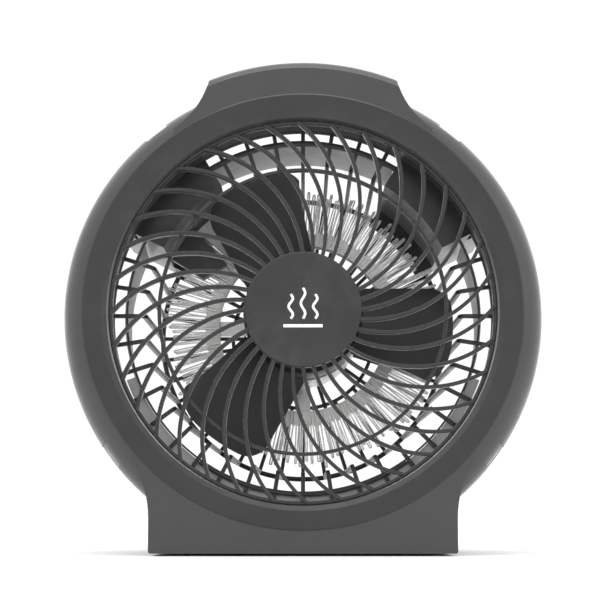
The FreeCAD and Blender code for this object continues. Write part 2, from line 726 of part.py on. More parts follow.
def make_heating_wire():
    """One hairpin of resistance wire for each slot: two legs joined by a half turn."""
    radius = number("Size.wireRadius")
    gap = 1.5
    start = number("Size.heaterOuter - 4")
    bend = number("Size.wireTip") - gap - radius
    depth = number("Size.heaterDepth")
    hairpins = []
    count = int(number("Size.wireCount"))
    for index in range(count):
        side = Vector(0, gap, 0)
        legs = [Part.LineSegment(Vector(start, -gap, -depth), Vector(bend, -gap, -depth)),
                Part.Arc(Vector(bend, -gap, -depth), Vector(bend + gap, 0, -depth),
                         Vector(bend, 0, -depth) + side),
                Part.LineSegment(Vector(bend, gap, -depth), Vector(start, gap, -depth))]
        path = Part.Wire([leg.toShape() for leg in legs])
        section = Part.Wire(Part.Circle(Vector(start, -gap, -depth), Vector(1, 0, 0),
                                        radius).toShape())
        hairpin = path.makePipeShell([section], True, False)
        hairpin.rotate(Vector(0, 0, 0), Vector(0, 0, 1), 360 / count * (index + 0.5))
        hairpins.append(hairpin)
    wire = doc.addObject("Part::Feature", "heating_wire")
    wire.Label = "heating_wire"
    wire.Shape = Part.makeCompound(hairpins)
    wire.Placement = FRONT


def make_heater_brackets():
    """Four steel arms that carry the mica rings from the motor's front bracket."""
    body = new_body("heater_brackets")
    arm = new_sketch(body, "XY_Plane", "86.2")
    add_loop(arm, [("Size.motorRadius + 0.4", "-5"), ("Size.heaterInner + 3", "-5"),
                   ("Size.heaterInner + 3", "5"), ("Size.motorRadius + 0.4", "5")])
    plate = pad(body, arm, "1.5")
    around(body, plate, "4")
    posts = new_sketch(body, "XY_Plane", "81.3")
    for angle in ("0", "90", "180", "270"):
        add_circle(posts, "1.4", *polar("Size.heaterInner + 2", angle))
    pad(body, posts, "6")


def make_heater_extras():
    """Cut-out and fuse, the terminal plate, its tabs and the duct that carries the leads."""
    cylinder("thermal_cutout", "7.5", "78", "86", None, *polar("47.5", "225"))
    fuse = new_body("thermal_fuse")
    sketch = new_sketch(fuse, "XY_Plane", "80")
    add_loop(sketch, [("44", "-12"), ("48", "-12"), ("48", "-7"), ("44", "-7")])
    pad(fuse, sketch, "4")
    plate = new_body("terminal_plate")
    sketch = new_sketch(plate, "XY_Plane", "77.5")
    add_loop(sketch, *sector("58", "97", "116", "137.5"))
    pad(plate, sketch, "1.2")
    tabs = new_body("terminal_tabs")
    sketch = new_sketch(tabs, "XY_Plane", "69")
    for radius in ("66", "76", "86"):
        x, y = polar(radius, "131")
        add_loop(sketch, [(f"{x} - 3", f"{y} - 0.4"), (f"{x} + 3", f"{y} - 0.4"),
                          (f"{x} + 3", f"{y} + 0.4"), (f"{x} - 3", f"{y} + 0.4")])
    pad(tabs, sketch, "8.5")
    duct = new_body("wire_duct")
    sketch = new_sketch(duct, "XY_Plane", "70")
    add_loop(sketch, [polar("98.2", "138"), ("-50.9", "41"), ("-66.7", "31.4"),
                      polar("98.2", "153")], {3: "-98.2"})
    pad(duct, sketch, "7")
    groove = new_sketch(duct, "XY_Plane", "72")
    add_loop(groove, [polar("94", "140.5"), ("-53.5", "43.5"), ("-64", "37"),
                      polar("94", "150.5")])
    pocket(duct, groove, "8")


# ---------------------------------------------------------------- small pieces

def make_feet():
    """Four rubber pads under the base."""
    body = new_body("rubber_feet")
    plane = [item for item in body.Origin.OriginFeatures if item.Role == "XZ_Plane"][0]
    sketch = body.newObject("Sketcher::SketchObject", "Sketch")
    sketch.AttachmentSupport = [(plane, "")]
    sketch.MapMode = "FlatFace"
    sketch.setExpression("AttachmentOffset.Base.z", f"-({BASE_BOTTOM})")
    for x in ("-66.7", "66.7"):
        for depth in ("14", "118"):
            add_circle(sketch, "2.5", x, f"-{depth}")
    feet = body.newObject("PartDesign::Pad", "Pads")
    feet.Profile = sketch
    feet.setExpression("Length", "Size.footHeight")


def make_housing_screws():
    body = new_body("housing_screws")
    shank = at_bosses(body, "1.5", "14")
    pad(body, shank, "28")
    head = at_bosses(body, "3.4", "41")
    pad(body, head, "2.2")


def make_cord_bush():
    """Bush in the rear wall of the base where a supply cord leaves."""
    body = new_body("cord_bush")
    place = ("Size.cordX", "Size.cordHeight - Size.axisHeight")
    flange = new_sketch(body, "XY_Plane", "Size.baseBack")
    add_circle(flange, "9", *place)
    pad(body, flange, "2")
    neck = new_sketch(body, "XY_Plane", "Size.baseBack - 5")
    add_circle(neck, "6", *place)
    pad(body, neck, "5")
    bore = new_sketch(body, "XY_Plane", "Size.baseBack - 6")
    add_circle(bore, "3.6", *place)
    pocket(body, bore, "12")


make_front_bezel()
make_front_guard()
make_rear_shell()
make_rear_cage()
make_heat_shield()
for prefix, control, side in (("selector", "selector_switch", -1),
                              ("thermostat", "thermostat_unit", 1)):
    make_housing(f"{prefix}_housing", side)
    make_cover(f"{prefix}_cover", side)
    make_control(control, side)
    make_spindle(f"{prefix}_spindle", side)
    make_knob(f"{prefix}_knob", side)
make_fan_rotor()
make_motor()
make_mica_ring("heater_ring_front", "80")
make_mica_ring("heater_ring_rear", "87.8")
make_heating_wire()
make_heater_brackets()
make_heater_extras()
make_feet()
make_housing_screws()
make_cord_bush()

doc.recompute()
os.makedirs("parts", exist_ok=True)
for item in doc.Objects:
    if {"Invalid", "Error"} & set(item.State):
        raise RuntimeError(f"{item.Label} failed: {item.State}")
pieces = [item for item in doc.Objects
          if item.TypeId == "PartDesign::Body" or item.Label == "heating_wire"]
for piece in pieces:
    if piece.Shape.isNull() or not piece.Shape.isValid():
        raise RuntimeError(f"{piece.Label} has no valid shape")
    piece.Shape.exportStep(f"parts/{piece.Label}.step")
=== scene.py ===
import functools
import math
import random

import bmesh
import bpy
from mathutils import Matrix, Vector


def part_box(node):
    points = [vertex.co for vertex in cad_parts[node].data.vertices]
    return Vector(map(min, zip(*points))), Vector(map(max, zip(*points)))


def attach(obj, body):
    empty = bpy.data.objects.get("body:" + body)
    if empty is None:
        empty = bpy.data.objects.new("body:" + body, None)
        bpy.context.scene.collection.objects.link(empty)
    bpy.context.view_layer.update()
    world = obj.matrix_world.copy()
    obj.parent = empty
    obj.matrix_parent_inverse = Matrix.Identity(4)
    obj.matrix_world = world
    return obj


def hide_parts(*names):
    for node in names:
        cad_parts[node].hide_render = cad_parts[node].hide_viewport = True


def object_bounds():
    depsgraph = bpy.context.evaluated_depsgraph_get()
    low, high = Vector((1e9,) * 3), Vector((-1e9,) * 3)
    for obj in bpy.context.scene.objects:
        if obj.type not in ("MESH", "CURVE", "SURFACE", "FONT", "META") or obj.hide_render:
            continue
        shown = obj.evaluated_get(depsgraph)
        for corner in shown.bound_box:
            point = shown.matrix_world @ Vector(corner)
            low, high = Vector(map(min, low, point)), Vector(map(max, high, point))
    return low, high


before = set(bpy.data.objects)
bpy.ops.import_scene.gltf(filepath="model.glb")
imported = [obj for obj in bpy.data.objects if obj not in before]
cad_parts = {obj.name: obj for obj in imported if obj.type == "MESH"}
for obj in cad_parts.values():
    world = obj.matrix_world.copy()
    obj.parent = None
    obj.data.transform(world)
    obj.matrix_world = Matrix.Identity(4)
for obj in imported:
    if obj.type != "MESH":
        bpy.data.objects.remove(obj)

# A round fan heater. Pieces are built in the drawing frame of the part: millimetres, x to the
# right, "up" measured from the fan axis and "depth" running backwards from the front face.
# place() turns that frame into the metres of the model.

CAD_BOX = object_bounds()
MM = 0.001
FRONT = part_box("front_bezel")[0].y
AXIS = sum((corner.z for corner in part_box("motor_shaft")), 0.0) / 2


def place(x, up, depth):
    return Vector((x * MM, FRONT + depth * MM, AXIS + up * MM))


@functools.cache
def radius_of(node):
    """Half the width of a node that is round about the fan axis, in mm."""
    low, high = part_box(node)
    return (high.x - low.x) / 2 / MM


@functools.cache
def depths_of(node):
    """Front and back depth of a node, in mm."""
    low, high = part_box(node)
    return (low.y - FRONT) / MM, (high.y - FRONT) / MM


# ------------------------------------------------------------------ materials

class Surface:
    """One procedural material. Noise in object space drives its colour, roughness and bump."""

    def __init__(self, name, colour, roughness, metallic=0.0, specular=0.5):
        self.material = bpy.data.materials.new(name)
        self.material.use_nodes = True
        self.tree = self.material.node_tree
        self.shader = self.tree.nodes["Principled BSDF"]
        self.shader.inputs["Metallic"].default_value = metallic
        self.shader.inputs["Specular IOR Level"].default_value = specular
        self.shader.inputs["Roughness"].default_value = roughness
        self.shader.inputs["Base Color"].default_value = (*colour, 1)
        self.colour = (*colour, 1)
        self.normal = None
        self.place = self.tree.nodes.new("ShaderNodeTexCoord").outputs["Object"]

    def link(self, value, socket):
        if isinstance(value, bpy.types.NodeSocket):
            self.tree.links.new(value, socket)
        else:
            socket.default_value = value

    def noise(self, scale, detail=3.0, stretch=None):
        """Noise with "scale" features to the metre, drawn out along the axes by "stretch"."""
        where = self.place
        if stretch:
            mapping = self.tree.nodes.new("ShaderNodeMapping")
            mapping.inputs["Scale"].default_value = stretch
            self.link(where, mapping.inputs["Vector"])
            where = mapping.outputs["Vector"]
        texture = self.tree.nodes.new("ShaderNodeTexNoise")
        texture.inputs["Scale"].default_value = scale
        texture.inputs["Detail"].default_value = detail
        self.link(where, texture.inputs["Vector"])
        return texture.outputs["Fac"]

    def between(self, value, low, high, out_low=0.0, out_high=1.0):
        """Value rescaled from low..high to out_low..out_high, and clamped."""
        ranged = self.tree.nodes.new("ShaderNodeMapRange")
        self.link(value, ranged.inputs["Value"])
        for socket, amount in (("From Min", low), ("From Max", high),
                               ("To Min", out_low), ("To Max", out_high)):
            ranged.inputs[socket].default_value = amount
        return ranged.outputs["Result"]

    def maths(self, operation, first, second=0.0):
        node = self.tree.nodes.new("ShaderNodeMath")
        node.operation = operation
        self.link(first, node.inputs[0])
        self.link(second, node.inputs[1])
        return node.outputs[0]

    def times(self, first, second):
        return self.maths("MULTIPLY", first, second)

    def edges(self):
        """1 along convex edges, 0 on flat ground."""
        geometry = self.tree.nodes.new("ShaderNodeNewGeometry")
        return self.between(geometry.outputs["Pointiness"], 0.52, 0.6)

    def upward(self):
        """1 on faces that look up, where dust settles."""
        geometry = self.tree.nodes.new("ShaderNodeNewGeometry")
        split = self.tree.nodes.new("ShaderNodeSeparateXYZ")
        self.link(geometry.outputs["Normal"], split.inputs[0])
        return self.between(split.outputs["Z"], 0.5, 1.0)

    def tint(self, amount, colour):
        """Mix another colour in where amount is 1."""
        mix = self.tree.nodes.new("ShaderNodeMix")
        mix.data_type = "RGBA"
        self.link(amount, mix.inputs[0])
        self.link(self.colour, mix.inputs[6])
        mix.inputs[7].default_value = (*colour, 1)
        self.colour = mix.outputs[2]
        self.link(self.colour, self.shader.inputs["Base Color"])

    def rough(self, amount, low, high):
        """Roughness from low to high as amount goes from 0 to 1."""
        self.link(self.between(amount, 0.3, 0.7, low, high), self.shader.inputs["Roughness"])

    def bump(self, height, distance, strength=1.0):
        """Relief of "distance" metres, laid over what is already there."""
        relief = self.tree.nodes.new("ShaderNodeBump")
        relief.inputs["Strength"].default_value = strength
        relief.inputs["Distance"].default_value = distance
        self.link(height, relief.inputs["Height"])
        if self.normal:
            self.link(self.normal, relief.inputs["Normal"])
        self.normal = relief.outputs["Normal"]
        self.link(self.normal, self.shader.inputs["Normal"])


def grey(level, warmth=0.0):
    return (level * (1 + warmth), level, level * (1 - warmth))


def moulded_plastic(name, level, roughness, grain_depth=1.2e-5, specular=0.5, sheen=0.5):
    """Moulded plastic: fine spark-eroded grain, flow clouds, rubbed edges and a trace of dust."""
    surface = Surface(name, grey(level), roughness, specular=specular)
    surface.tint(surface.between(surface.noise(26, 5), 0.35, 0.7), grey(level * 1.22, -0.01))
    surface.tint(surface.between(surface.noise(420, 3), 0.45, 0.75, 0, 0.35), grey(level * 0.8))
    wear = surface.times(surface.edges(), surface.between(surface.noise(90, 4), 0.4, 0.65))
    surface.tint(surface.times(wear, 0.35), grey(level * 2.6))
    dust = surface.times(surface.upward(), surface.between(surface.noise(60, 6), 0.45, 0.8))
    surface.tint(surface.times(dust, 0.12), grey(0.3, 0.03))
    surface.rough(surface.noise(55, 5), roughness - 0.05, roughness + 0.07)
    surface.bump(surface.noise(2200, 2), grain_depth)
    surface.bump(surface.noise(34, 2), 6e-5, 0.5)
    surface.shader.inputs["Sheen Weight"].default_value = sheen
    surface.shader.inputs["Sheen Roughness"].default_value = 0.22
    return surface


def brushed_metal(name, colour, roughness, stretch, stain=0.7):
    """Sheet or turned metal: drawn-out scratches, cloudy oxide and brighter edges."""
    surface = Surface(name, colour, roughness, metallic=1.0)
    darker = tuple(channel * stain for channel in colour)
    brighter = tuple(min(channel * 1.35, 1.0) for channel in colour)
    surface.tint(surface.between(surface.noise(48, 6), 0.4, 0.75), darker)
    scratches = surface.noise(160, 4, stretch)
    surface.tint(surface.between(scratches, 0.5, 0.8, 0, 0.35), brighter)
    surface.tint(surface.times(surface.edges(), 0.5), brighter)
    surface.rough(scratches, roughness - 0.08, roughness + 0.14)
    surface.bump(scratches, 1.5e-5)
    return surface.material


# Where the front face ends and the painted lighter band begins, in metres from the fan axis.
PAINTED_LIGHT_EDGE = (0.1345, 0.1352)


def bezel_plastic():
    """The body's plastic. Outside the front face its colour is a shade paler: painted light for
    the brighter rim, base and handle.
    """
    surface = moulded_plastic("bezel_plastic", 0.018, 0.32, specular=0.42, sheen=1.0)
    split = surface.tree.nodes.new("ShaderNodeSeparateXYZ")
    surface.link(surface.place, split.inputs[0])
    sideways = split.outputs["X"]
    height = surface.maths("SUBTRACT", split.outputs["Z"], AXIS)
    squares = surface.maths("ADD", surface.times(sideways, sideways),
                            surface.times(height, height))
    outside = surface.between(surface.maths("SQRT", squares), *PAINTED_LIGHT_EDGE)
    # Painted light: outside the front face the colour is lifted towards a lighter grey.
    surface.tint(surface.times(outside, 0.36), grey(0.075))
    return surface.material


def guard_plastic():
    surface = moulded_plastic("guard_plastic", 0.017, 0.24, grain_depth=4e-6, specular=0.45,
                              sheen=0.6)
    return surface.material


def cage_plastic():
    surface = moulded_plastic("cage_plastic", 0.020, 0.34, specular=0.5, sheen=0.5)
    return surface.material


def blade_plastic():
    surface = moulded_plastic("blade_plastic", 0.017, 0.36, grain_depth=6e-6, specular=0.4,
                              sheen=0.25)
    return surface.material


def knob_plastic():
    return moulded_plastic("knob_plastic", 0.020, 0.28, grain_depth=6e-6).material


def switch_plastic():
    return moulded_plastic("switch_plastic", 0.42, 0.5, specular=0.4).material


def shield_steel():
    """Aluminised sheet with faint spangle."""
    surface = Surface("shield_steel", (0.52, 0.52, 0.53), 0.5, 0.3)
    cells = surface.tree.nodes.new("ShaderNodeTexVoronoi")
    cells.inputs["Scale"].default_value = 240
    surface.link(surface.place, cells.inputs["Vector"])
    surface.tint(surface.between(cells.outputs["Distance"], 0.1, 0.9, 0, 0.3), (0.60, 0.60, 0.61))
    surface.tint(surface.between(surface.noise(30, 6), 0.45, 0.8, 0, 0.35), (0.44, 0.435, 0.43))
    surface.rough(surface.noise(140, 4), 0.44, 0.58)
    surface.bump(surface.noise(220, 3), 2e-5)
    return surface.material


def mica():
    """Layered phlogopite board: silvery flakes with brown heat tint."""
    surface = Surface("mica", (0.72, 0.71, 0.69), 0.38, 0.1)
    cells = surface.tree.nodes.new("ShaderNodeTexVoronoi")
    cells.inputs["Scale"].default_value = 700
    surface.link(surface.place, cells.inputs["Vector"])
    surface.tint(surface.between(cells.outputs["Distance"], 0.1, 0.8, 0, 0.5), (0.84, 0.83, 0.81))
    surface.tint(surface.between(surface.noise(90, 5), 0.5, 0.8, 0, 0.35), (0.58, 0.55, 0.51))
    surface.rough(surface.noise(500, 3), 0.28, 0.5)
    surface.bump(cells.outputs["Distance"], 4e-5)
    return surface.material


def resistance_wire():
    return brushed_metal("resistance_wire", (0.90, 0.89, 0.88), 0.28, stretch=None, stain=0.85)


def motor_steel():
    return brushed_metal("motor_steel", (0.60, 0.61, 0.62), 0.30, stretch=(1, 30, 1))


def copper():
    """Enamelled winding wire: fine turns round the axis."""
    surface = Surface("copper", (0.62, 0.26, 0.12), 0.3, 0.9)
    turns = surface.tree.nodes.new("ShaderNodeTexWave")
    turns.bands_direction = "Y"
    turns.inputs["Scale"].default_value = 420
    turns.inputs["Distortion"].default_value = 1.6
    surface.link(surface.place, turns.inputs["Vector"])
    surface.tint(surface.between(turns.outputs["Fac"], 0.0, 0.4, 0.7, 0), (0.22, 0.07, 0.03))
    surface.tint(surface.between(surface.noise(80, 4), 0.5, 0.8, 0, 0.5), (0.45, 0.16, 0.07))
    surface.rough(surface.noise(300, 3), 0.22, 0.4)
    surface.bump(turns.outputs["Fac"], 8e-5)
    return surface.material


def bearing_bronze():
    return brushed_metal("bearing_bronze", (0.50, 0.33, 0.16), 0.4, stretch=(30, 1, 30))


def shaft_steel():
    return brushed_metal("shaft_steel", (0.72, 0.72, 0.73), 0.18, stretch=(1, 60, 1), stain=0.85)


def contact_metal():
    return brushed_metal("contact_metal", (0.68, 0.62, 0.45), 0.28, stretch=(40, 1, 1))


def screw_steel():
    return brushed_metal("screw_steel", (0.55, 0.55, 0.56), 0.3, stretch=None, stain=0.6)


def rubber():
    """Soft black rubber with a chalky bloom."""
    surface = Surface("rubber", grey(0.018), 0.7, specular=0.3)
    surface.tint(surface.between(surface.noise(300, 5), 0.45, 0.8, 0, 0.5), grey(0.05, 0.02))
    surface.rough(surface.noise(200, 4), 0.62, 0.85)
    surface.bump(surface.noise(1600, 3), 3e-5)
    return surface.material


def printed_ink():
    """Pad-printed white, slightly broken up by the plastic's grain."""
    surface = Surface("printed_ink", grey(0.80, 0.01), 0.45)
    surface.tint(surface.between(surface.noise(1500, 4), 0.55, 0.75, 0, 0.35), grey(0.45))
    surface.rough(surface.noise(700, 3), 0.38, 0.55)
    surface.bump(surface.noise(1800, 2), 8e-6)
    return surface.material


MATERIALS = {build.__name__: build() for build in (
    bezel_plastic, guard_plastic, cage_plastic, blade_plastic, knob_plastic, switch_plastic,
    shield_steel, mica, resistance_wire, motor_steel, copper, bearing_bronze, shaft_steel,
    contact_metal, screw_steel, rubber, printed_ink)}


def dress_frame():
    """Give every carried-over CAD node the material of the slot that it already names."""
    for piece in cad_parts.values():
        for slot in piece.material_slots:
            slot.material = MATERIALS[slot.material.name.split(".")[0]]


# ------------------------------------------------------------------ mesh tools

def polar(radius, angle):
    return radius * math.cos(math.radians(angle)), radius * math.sin(math.radians(angle))


def rounded_section(width, height, radius, steps=3):
    """Corners of a rectangle with rounded corners, centred on the origin."""
    outline = []
    for corner, (x, y) in enumerate(((1, 1), (-1, 1), (-1, -1), (1, -1))):
        for step in range(steps + 1):
            angle = 90 * corner + 90 * step / steps
            dx, dy = polar(radius, angle)
            outline.append((x * (width / 2 - radius) + dx, y * (height / 2 - radius) + dy))
    return outline


def round_section(radius, sides):
    return [polar(radius, 360 * side / sides) for side in range(sides)]


def skin(bm, loops, closed=False):
    """Bridge equal loops of points in turn, and cap both ends unless the row is closed."""
    rows = [[bm.verts.new(place(*point)) for point in loop] for loop in loops]
    pairs = list(zip(rows, rows[1:]))
    if closed:
        pairs.append((rows[-1], rows[0]))
    for first, second in pairs:
        for index in range(len(first)):
            following = (index + 1) % len(first)
            bm.faces.new((first[index], first[following], second[following], second[index]))
    if not closed:
        bm.faces.new(rows[0])
        bm.faces.new(rows[-1])


def sweep(bm, path, side, section):
    """Run a section along a path. Its first axis is "side", its second is square to both."""
    side = Vector(side).normalized()
    points = [Vector(point) for point in path]
    loops = []
    for index, point in enumerate(points):
        before = points[max(index - 1, 0)]
        after = points[min(index + 1, len(points) - 1)]
        across = (after - before).normalized().cross(side).normalized()
        loops.append([point + side * a + across * b for a, b in section])
    skin(bm, loops)


def lathe(bm, profile, steps=144, start=0.0, end=360.0, centre=(0, 0)):
    """Turn a closed profile of (radius, depth) about an axis parallel to the fan's."""
    full = end - start >= 360
    loops = []
    for step in range(steps if full else steps + 1):
        angle = start + (end - start) * step / steps
        loop = []
        for radius, depth in profile:
            x, up = polar(radius, angle)
            loop.append((x + centre[0], up + centre[1], depth))
        loops.append(loop)
    skin(bm, loops, closed=full)


def ring(bm, inner, outer, front, back, edge=0.4, steps=144, start=0.0, end=360.0):
    """A flat ring of rectangular section with rounded edges."""
    middle, halfway = (inner + outer) / 2, (front + back) / 2
    section = rounded_section(outer - inner, back - front, edge, 2)
    lathe(bm, [(middle + a, halfway + b) for a, b in section], steps, start, end)


def finish_mesh(name, bm, material, body="root", replaced=(), smooth=40):
    """Turn the bmesh into a piece that rides on a body and stands for CAD nodes."""
    bmesh.ops.remove_doubles(bm, verts=bm.verts, dist=1e-7)
    bmesh.ops.dissolve_degenerate(bm, edges=bm.edges, dist=1e-8)
    bmesh.ops.recalc_face_normals(bm, faces=bm.faces)
    mesh = bpy.data.meshes.new(name)
    bm.to_mesh(mesh)
    bm.free()
    mesh.shade_smooth()
    mesh.set_sharp_from_angle(angle=math.radians(smooth))
    mesh.materials.append(MATERIALS[material])
    piece = bpy.data.objects.new(name, mesh)
    bpy.context.scene.collection.objects.link(piece)
    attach(piece, body)
    if replaced:
        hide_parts(*replaced)
    return piece


def arc_left(start, end, radius, steps):
    """Points on an arc that bends to the left on its way from start to end."""
    start, end = Vector(start), Vector(end)
    chord = end - start
    left = Vector((-chord.y, chord.x)).normalized()
    reach = math.sqrt(radius ** 2 - (chord.length / 2) ** 2)
    centre = (start + end) / 2 + left * reach
    first = math.atan2(start.y - centre.y, start.x - centre.x)
    last = math.atan2(end.y - centre.y, end.x - centre.x)
    if last < first:
        last += 2 * math.pi
    turns = [first + (last - first) * step / steps for step in range(steps + 1)]
    return [(centre.x + radius * math.cos(t), centre.y + radius * math.sin(t)) for t in turns]


def rotated(points, angle):
    """The same points turned about the fan axis."""
    cos, sin = math.cos(math.radians(angle)), math.sin(math.radians(angle))
    return [(x * cos - y * sin, x * sin + y * cos, *rest) for x, y, *rest in points]


# ------------------------------------------------------------------ spiral guard

RIB_COUNT = 36
RIB_WIDTH = 2.3
RIB_CURVE = 75.0
RIB_SWEEP = 31.45
HUB_PLATE = 35.9
SUPPORT_RING = (87.5, 89.7)


def make_guard():
    front, back = depths_of("front_guard")
    rim = radius_of("front_guard")
    bm = bmesh.new()
    rib_front = front + 1
    rib_back = back - 2
    depth = (rib_front + rib_back) / 2
    section = rounded_section(rib_back - rib_front, RIB_WIDTH, 0.55)
    outline = arc_left((HUB_PLATE - 1.5, 0), polar(rim - 1, RIB_SWEEP), RIB_CURVE, 26)
    for index in range(RIB_COUNT):
        path = [(x, y, depth) for x, y in rotated(outline, 360 / RIB_COUNT * index)]
        sweep(bm, path, (0, 0, 1), section)
    lathe(bm, [(0.01, front), (HUB_PLATE - 1.1, front), (HUB_PLATE - 0.5, front + 0.15),
               (HUB_PLATE - 0.1, front + 0.5), (HUB_PLATE, front + 1.1), (HUB_PLATE, rib_back),
               (HUB_PLATE - 2, rib_back), (HUB_PLATE - 2, front + 2.5), (0.01, front + 2.5)])
    ring(bm, rim - 2.4, rim, rib_front + 1, rib_back + 1, 0.5)
    ring(bm, *SUPPORT_RING, rib_back - 1.5, back, 0.5)
    finish_mesh("spiral_guard", bm, "guard_plastic", replaced=("front_guard",))


def make_hub_mark():
    """Three tall waves over a bar, the usual sign for warm air, printed on the hub plate."""
    front, _ = depths_of("front_guard")
    bm = bmesh.new()
    for column, height in ((-7.5, 7.5), (0, 9.5), (7.5, 7.5)):
        path = []
        for step in range(37):
            along = step / 36
            sway = 1.3 * math.sin(3 * math.pi * along)
            path.append((column + sway, -6 + 2 * height * along, front - 0.04))
        sweep(bm, path, (0, 0, 1), rounded_section(0.1, 1.5, 0.04, 1))
    bar = [(x, -10.5, front - 0.04) for x in (-12, 0, 12)]
    sweep(bm, bar, (0, 0, 1), rounded_section(0.1, 1.9, 0.04, 1))
    finish_mesh("hub_warm_air_mark", bm, "printed_ink")


# ------------------------------------------------------------------ rotor

# Measures of the blade that points right at rest. "Up" is measured from the fan axis.
BLADE_ROOT = 30.0
LEADING_UP = 20.9
LEADING_DEPTH = 49.0
TRAILING_DEPTH = 27.0
TRAILING_EDGE = ((26, -23.4), (98, -48))     # (distance from the axis, up) of its two ends
CORNER = 12.0
TRAILING_CORNER = 6.0
TRAILING_REACH = 78.0
TIP_CURVE = 45.0
TIP_CENTRE = (50.99, -8.6)
TIP_CURVE_TOP = -6
CAMBER = 2.2
THICKNESS = 2.3

CUP_RADIUS = 37.6
CUP_BACK = 56
CUP_BORE = 4.05


@functools.cache
def blade_tip():
    """The rotor's radius; at rest one blade points straight to the right."""
    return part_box("fan_rotor")[1].x / MM


def trailing_edge(distance):
    """Height of the trailing edge at a distance from the axis."""
    (near, upper), (far, lower) = TRAILING_EDGE
    return upper + (distance - near) / (far - near) * (lower - upper)


def blade_point(outward, across, side):
    """A point of the blade: outward 0..1 from hub to tip, across 0..1 from leading edge back."""
    tip = blade_tip()
    distance = BLADE_ROOT + (TRAILING_REACH - BLADE_ROOT) * outward
    trailing = trailing_edge(distance)
    up = LEADING_UP + (trailing - LEADING_UP) * across
    from_lead = LEADING_UP - up
    limit = tip
    if from_lead < CORNER:
        limit = tip - CORNER + math.sqrt(CORNER ** 2 - (CORNER - from_lead) ** 2)
    reach = math.sqrt(max(limit ** 2 - up ** 2, 0))
    if up < TIP_CURVE_TOP:
        reach = min(reach, TIP_CENTRE[0] + math.sqrt(TIP_CURVE ** 2 - (up - TIP_CENTRE[1]) ** 2))
    from_trail = (1 - across) * (LEADING_UP - trailing)
    if from_trail < TRAILING_CORNER:
        reach -= TRAILING_CORNER - math.sqrt(
            TRAILING_CORNER ** 2 - (TRAILING_CORNER - from_trail) ** 2)
    x = BLADE_ROOT + (reach - BLADE_ROOT) * outward
    camber = CAMBER * math.sin(math.pi * across) * (0.4 + 0.6 * outward)
    thickness = THICKNESS * (0.25 + 0.75 * math.sin(math.pi * (0.06 + 0.88 * across)) ** 0.6)
    depth = LEADING_DEPTH + (TRAILING_DEPTH - LEADING_DEPTH) * across - camber * 0.6
    return x, up, depth + side * thickness / 2


def make_rotor():
    hub_front = depths_of("fan_rotor")[0]
    bm = bmesh.new()
    outward_steps, across_steps = 22, 26
    rows = [0.5 - 0.5 * math.cos(math.pi * a / across_steps) for a in range(across_steps + 1)]
    for blade in range(3):
        loops = []
        for step in range(outward_steps + 1):
            outward = step / outward_steps
            front = [blade_point(outward, across, -1) for across in rows]
            back = [blade_point(outward, across, 1) for across in rows]
            loops.append(rotated(front + back[::-1], 120 * blade))
        skin(bm, loops)
    cup = [(CUP_BORE, hub_front)]
    for step in range(9):
        x, y = polar(6, 90 - 90 * step / 8)
        cup.append((CUP_RADIUS - 6 + x, hub_front + 6 - y))
    cup += [(CUP_RADIUS, CUP_BACK), (CUP_RADIUS - 2.4, CUP_BACK),
            (CUP_RADIUS - 2.4, hub_front + 7)]
    for step in range(1, 7):
        x, y = polar(4, 90 * step / 6)
        cup.append((CUP_RADIUS - 6.4 + x, hub_front + 6.6 - y))
    cup += [(9, hub_front + 2.6), (9, CUP_BACK), (CUP_BORE, CUP_BACK)]
    lathe(bm, cup, 120)
    for index in range(12):
        path = [(*polar(distance, 30 * index), hub_front + 6) for distance in (8.5, 20, 34.9)]
        sweep(bm, path, (0, 0, 1), rounded_section(7, 1.2, 0.3, 1))
    finish_mesh("rotor_with_blades", bm, "blade_plastic", "rotor", replaced=("fan_rotor",))


# ------------------------------------------------------------------ rear cage

CAGE_RADIUS = 98.6
CAGE_WALL = 3.4
FLANGE_DEPTH = 4.2
BAR_COUNT = 40
BAR_WIDTH = 2.6
BAR_BEND = 2.4
BAR_FRONT = 32.1       # depth of the legs that run out behind the bezel
POD = (23.8, 60.7)     # directions that the right control housing takes up, in degrees


def beside_pod(angle):
    """Whether a bar at this angle would run through a control housing."""
    mirrored = 180 - angle
    return POD[0] < angle < POD[1] or POD[0] < mirrored < POD[1]


def bar_path(angle, end):
    """Centre line of one cage bar: in behind the bezel, back along the drum, in over its end."""
    middle = CAGE_RADIUS + CAGE_WALL / 2
    corners = [(49.5, end)]
    if not beside_pod(angle):
        for step in range(5):
            x, y = polar(BAR_BEND, 90 - 90 * step / 4)
            corners.append((middle - BAR_BEND + x, end - BAR_BEND + y))
        for step in range(5):
            x, y = polar(BAR_BEND, 180 + 90 * step / 4)
            corners.append((middle + BAR_BEND + x, BAR_FRONT + BAR_BEND + y))
        corners.append((120.5, BAR_FRONT))
    else:
        corners.append((middle, end))
    return [(*polar(radius, angle), depth) for radius, depth in corners]


